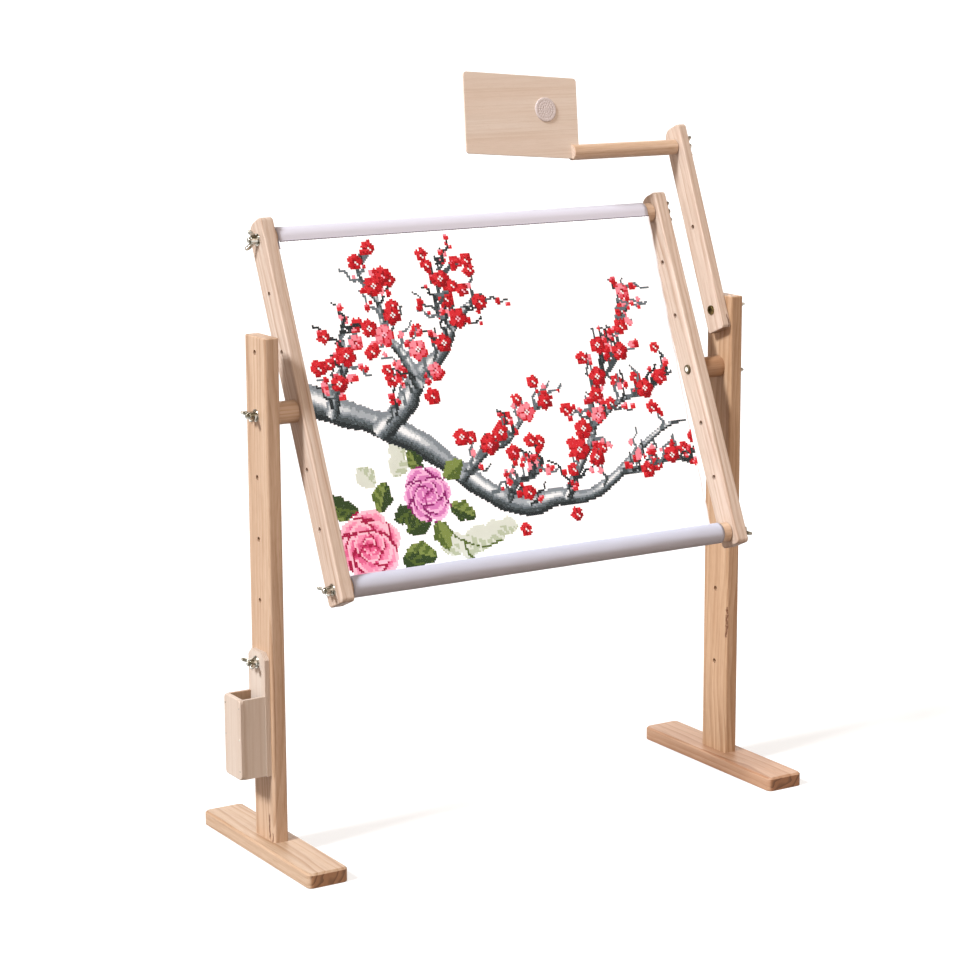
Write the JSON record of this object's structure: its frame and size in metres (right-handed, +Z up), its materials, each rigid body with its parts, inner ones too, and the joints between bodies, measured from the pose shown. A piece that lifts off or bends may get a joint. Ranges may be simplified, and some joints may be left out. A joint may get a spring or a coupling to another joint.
{
  "type": "embroidery scroll frame on floor stand",
  "caption": "Wooden scroll frame for cross-stitch on a two-post floor stand, with tilting rails, cloth rollers, chart holder arm and hanging tool box.",
  "frame": {"origin": "on the floor, midway between the two posts and on their centre plane", "axes": "+X along the rods towards the side with the chart arm, -Y towards the stitcher, +Z up"},
  "size_m": [0.9511, 0.355, 1.1697],
  "materials": {
    "pine": "planed, thin clear coat",
    "rail_pine": "planed, thin clear coat",
    "dowel_wood": "turned, sanded",
    "plywood": "sanded thin plywood",
    "box_wood": "sanded board",
    "zinc": "bright zinc plate",
    "bronze_zinc": "yellow passivated zinc",
    "aida_cloth": "woven cotton",
    "rod_wrap": "woven cotton",
    "magnet_grey": "satin grey"
  },
  "bodies": {
    "stand": {"left_foot": "pine", "right_foot": "pine", "left_post": "pine", "right_post": "pine", "left_foot_screws": "zinc", "right_foot_screws": "zinc", "left_spacer": "pine", "right_spacer": "pine", "post_washers": "zinc", "box_bolt": "bronze_zinc"},
    "frame": {"left_rail": "rail_pine", "right_rail": "rail_pine", "left_pivot_bolt": "bronze_zinc", "right_pivot_bolt": "bronze_zinc", "rail_washers": "zinc", "cloth_sheet": "aida_cloth"},
    "top_roller": {"top_rod": "dowel_wood", "top_cloth_roll": "rod_wrap", "top_rod_studs": "zinc"},
    "bottom_roller": {"bottom_rod": "dowel_wood", "bottom_cloth_roll": "rod_wrap", "bottom_rod_studs": "zinc"},
    "arm": {"chart_arm": "rail_pine", "arm_bolt": "bronze_zinc", "arm_washer": "zinc"},
    "chart_holder": {"chart_dowel": "dowel_wood", "chart_stud": "zinc", "chart_board": "plywood", "chart_magnet": "magnet_grey"},
    "tool_box": {"box_back_plate": "box_wood", "box_outer_panel": "box_wood", "box_front_panel": "box_wood", "box_rear_panel": "box_wood", "box_bottom": "box_wood", "box_washer": "zinc"},
    "left_pivot_wing": {"left_pivot_nut": "zinc"},
    "right_pivot_wing": {"right_pivot_nut": "zinc"},
    "top_left_wing": {"top_left_nut": "zinc"},
    "top_right_wing": {"top_right_nut": "zinc"},
    "bottom_left_wing": {"bottom_left_nut": "zinc"},
    "bottom_right_wing": {"bottom_right_nut": "zinc"},
    "arm_wing": {"arm_nut": "zinc"},
    "chart_wing": {"chart_nut": "zinc"},
    "box_wing": {"box_nut": "zinc"}
  },
  "joints": [
    {"name": "frame_tilt", "type": "hinge", "parent": "stand", "child": "frame", "pos_m": [0, 0, 0.6815], "axis": [1, 0, 0], "range_deg": [-60, 50]},
    {"name": "top_roller_turn", "type": "hinge", "parent": "frame", "child": "top_roller", "pos_m": [0, 0.11023, 0.92907], "axis": [1, 0, 0], "continuous": true},
    {"name": "bottom_roller_turn", "type": "hinge", "parent": "frame", "child": "bottom_roller", "pos_m": [0, -0.11226, 0.42936], "axis": [1, 0, 0], "continuous": true},
    {"name": "arm_swing", "type": "hinge", "parent": "stand", "child": "arm", "pos_m": [0.4069, 0, 0.776], "axis": [1, 0, 0], "range_deg": [-35, 60]},
    {"name": "chart_turn", "type": "hinge", "parent": "arm", "child": "chart_holder", "pos_m": [0.3, 0.10697, 1.03552], "axis": [1, 0, 0], "range_deg": [-40, 50]},
    {"name": "box_swing", "type": "hinge", "parent": "stand", "child": "tool_box", "pos_m": [-0.4431, 0, 0.3035], "axis": [1, 0, 0], "range_deg": [-60, 60]},
    {"name": "left_pivot_wing_turn", "type": "hinge", "parent": "frame", "child": "left_pivot_wing", "pos_m": [-0.446, 0, 0.6815], "axis": [1, 0, 0], "continuous": true},
    {"name": "right_pivot_wing_turn", "type": "hinge", "parent": "frame", "child": "right_pivot_wing", "pos_m": [0.446, 0, 0.6815], "axis": [1, 0, 0], "continuous": true},
    {"name": "top_left_wing_turn", "type": "hinge", "parent": "top_roller", "child": "top_left_wing", "pos_m": [-0.382, 0.11023, 0.92907], "axis": [1, 0, 0], "continuous": true},
    {"name": "top_right_wing_turn", "type": "hinge", "parent": "top_roller", "child": "top_right_wing", "pos_m": [0.382, 0.11023, 0.92907], "axis": [1, 0, 0], "continuous": true},
    {"name": "bottom_left_wing_turn", "type": "hinge", "parent": "bottom_roller", "child": "bottom_left_wing", "pos_m": [-0.382, -0.11226, 0.42936], "axis": [1, 0, 0], "continuous": true},
    {"name": "bottom_right_wing_turn", "type": "hinge", "parent": "bottom_roller", "child": "bottom_right_wing", "pos_m": [0.382, -0.11226, 0.42936], "axis": [1, 0, 0], "continuous": true},
    {"name": "arm_wing_turn", "type": "hinge", "parent": "arm", "child": "arm_wing", "pos_m": [0.446, 0, 0.776], "axis": [1, 0, 0], "continuous": true},
    {"name": "chart_wing_turn", "type": "hinge", "parent": "chart_holder", "child": "chart_wing", "pos_m": [0.422, 0.10697, 1.03552], "axis": [1, 0, 0], "continuous": true},
    {"name": "box_wing_turn", "type": "hinge", "parent": "stand", "child": "box_wing", "pos_m": [-0.455, 0, 0.3035], "axis": [1, 0, 0], "continuous": true}
  ]
}
